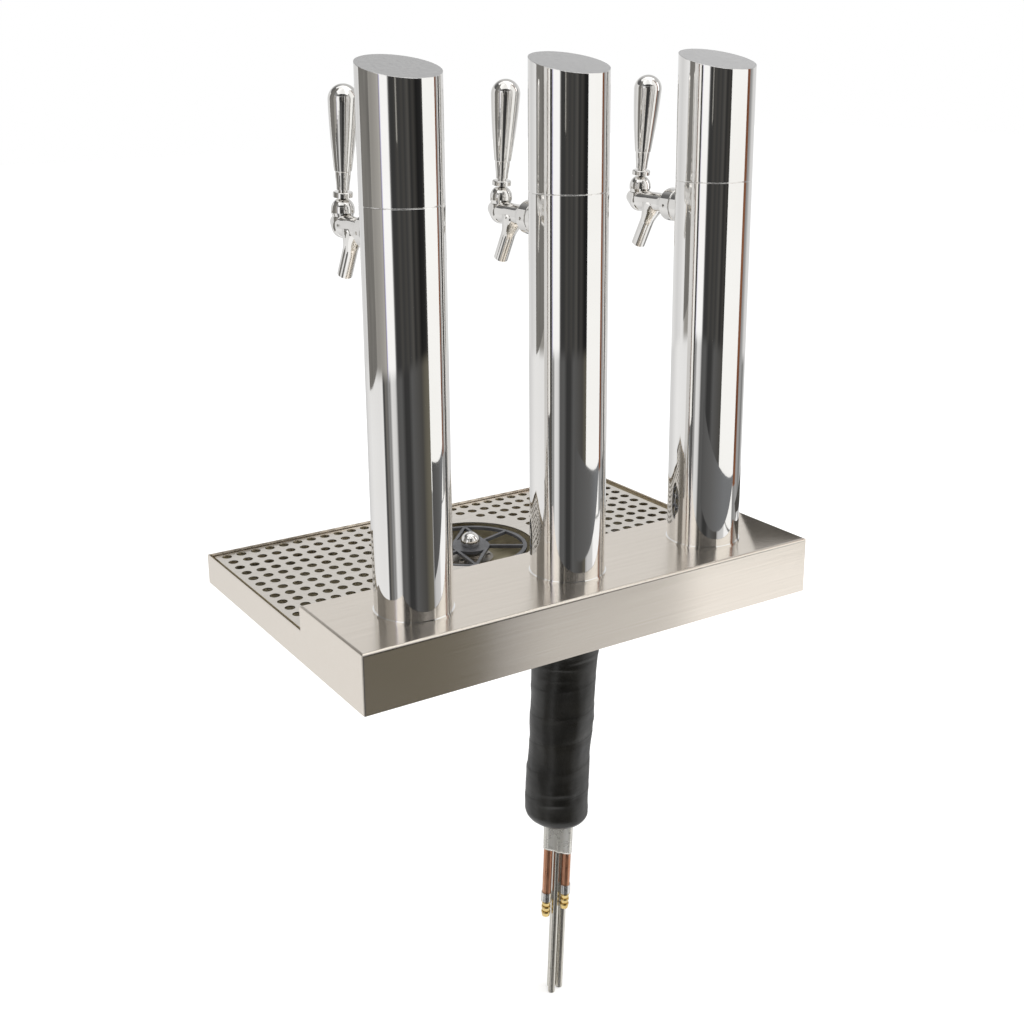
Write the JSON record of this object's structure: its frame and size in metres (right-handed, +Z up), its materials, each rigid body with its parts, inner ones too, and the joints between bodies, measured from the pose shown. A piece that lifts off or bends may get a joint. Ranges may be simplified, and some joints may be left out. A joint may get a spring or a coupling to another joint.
{
  "type": "beer tower dispenser",
  "caption": "Drink dispensing station: upright steel columns with lever faucets on a raised deck, a perforated drip tray with a glass rinser, and an insulated trunk of lines below.",
  "frame": {"origin": "on the bar top's plane under the middle column's axis, at the centre of the deck's four fixing holes", "axes": "+Z up along the columns, +X along the row of columns towards the left one as seen from behind, the faucets and the drip tray towards -Y, the plain apron towards +Y"},
  "size_m": [0.5334, 0.383, 1.0017],
  "materials": {
    "stainless": "satin",
    "column_steel": "polished",
    "star_plastic": "matte",
    "chrome": "polished",
    "handle_metal": "polished",
    "valve_steel": "satin",
    "brass": "satin",
    "saddle_plastic": "matte",
    "line_steel": "satin",
    "copper": "satin",
    "foil": "creased",
    "insulation": "matte"
  },
  "bodies": {
    "station": {"base_shell": "stainless", "base_plate": "stainless", "tray_pan": "stainless", "grid_ledges": "stainless", "drain_spud": "stainless", "drain_nut": "stainless", "rinser_body": "stainless", "rinser_nut": "brass", "rinser_screws": "chrome", "rinser_spring": "stainless", "left_column_tube": "column_steel", "middle_column_tube": "column_steel", "right_column_tube": "column_steel", "left_column_cap": "column_steel", "middle_column_cap": "column_steel", "right_column_cap": "column_steel", "left_column_foot": "column_steel", "middle_column_foot": "column_steel", "right_column_foot": "column_steel", "foot_screws": "stainless", "left_shank": "chrome", "middle_shank": "chrome", "right_shank": "chrome", "left_shank_flange": "chrome", "middle_shank_flange": "chrome", "right_shank_flange": "chrome", "shank_nuts": "brass", "inner_saddles": "saddle_plastic", "coupling_nuts": "chrome", "left_faucet_body": "chrome", "middle_faucet_body": "chrome", "right_faucet_body": "chrome", "left_bonnet": "chrome", "middle_bonnet": "chrome", "right_bonnet": "chrome", "left_beer_line": "line_steel", "middle_beer_line": "line_steel", "right_beer_line": "line_steel", "glycol_loop": "copper", "supply_barb": "brass", "return_barb": "brass", "foil_wrap": "foil", "trunk_insulation": "insulation"},
    "left_tap_lever": {"left_lever": "chrome", "left_ferrule": "chrome", "left_handle": "handle_metal"},
    "left_tap_valve": {"left_valve_shaft": "valve_steel"},
    "middle_tap_lever": {"middle_lever": "chrome", "middle_ferrule": "chrome", "middle_handle": "handle_metal"},
    "middle_tap_valve": {"middle_valve_shaft": "valve_steel"},
    "right_tap_lever": {"right_lever": "chrome", "right_ferrule": "chrome", "right_handle": "handle_metal"},
    "right_tap_valve": {"right_valve_shaft": "valve_steel"},
    "rinser_head": {"rinser_plunger": "stainless", "rinser_star": "star_plastic", "spray_head": "chrome"},
    "loose_grid": {"drip_grid": "stainless"}
  },
  "joints": [
    {"name": "left_lever_pull", "type": "hinge", "parent": "station", "child": "left_tap_lever", "pos_m": [0.1778, -0.119, 0.426], "axis": [1, 0, 0], "range_deg": [0, 40]},
    {"name": "middle_lever_pull", "type": "hinge", "parent": "station", "child": "middle_tap_lever", "pos_m": [0, -0.119, 0.426], "axis": [1, 0, 0], "range_deg": [0, 40]},
    {"name": "right_lever_pull", "type": "hinge", "parent": "station", "child": "right_tap_lever", "pos_m": [-0.1778, -0.119, 0.426], "axis": [1, 0, 0], "range_deg": [0, 40]},
    {"name": "left_valve_slide", "type": "slide", "parent": "station", "child": "left_tap_valve", "axis": [0, 1, 0], "range_m": [0, 0.0075]},
    {"name": "middle_valve_slide", "type": "slide", "parent": "station", "child": "middle_tap_valve", "axis": [0, 1, 0], "range_m": [0, 0.0075]},
    {"name": "right_valve_slide", "type": "slide", "parent": "station", "child": "right_tap_valve", "axis": [0, 1, 0], "range_m": [0, 0.0075]},
    {"name": "rinser_press", "type": "slide", "parent": "station", "child": "rinser_head", "axis": [0, 0, -1], "range_m": [0, 0.006], "stiffness_N_per_m": 1500, "springref_m": -0.004, "deforming": ["rinser_spring"]},
    {"name": "grid_lift", "type": "slide", "parent": "station", "child": "loose_grid", "axis": [0, 0, 1], "range_m": [0, 0.08]}
  ],
  "couplings": [
    {"joint": "left_valve_slide", "follows": "left_lever_pull", "m_per_rad": 0.01045},
    {"joint": "middle_valve_slide", "follows": "middle_lever_pull", "m_per_rad": 0.01045},
    {"joint": "right_valve_slide", "follows": "right_lever_pull", "m_per_rad": 0.01045}
  ]
}
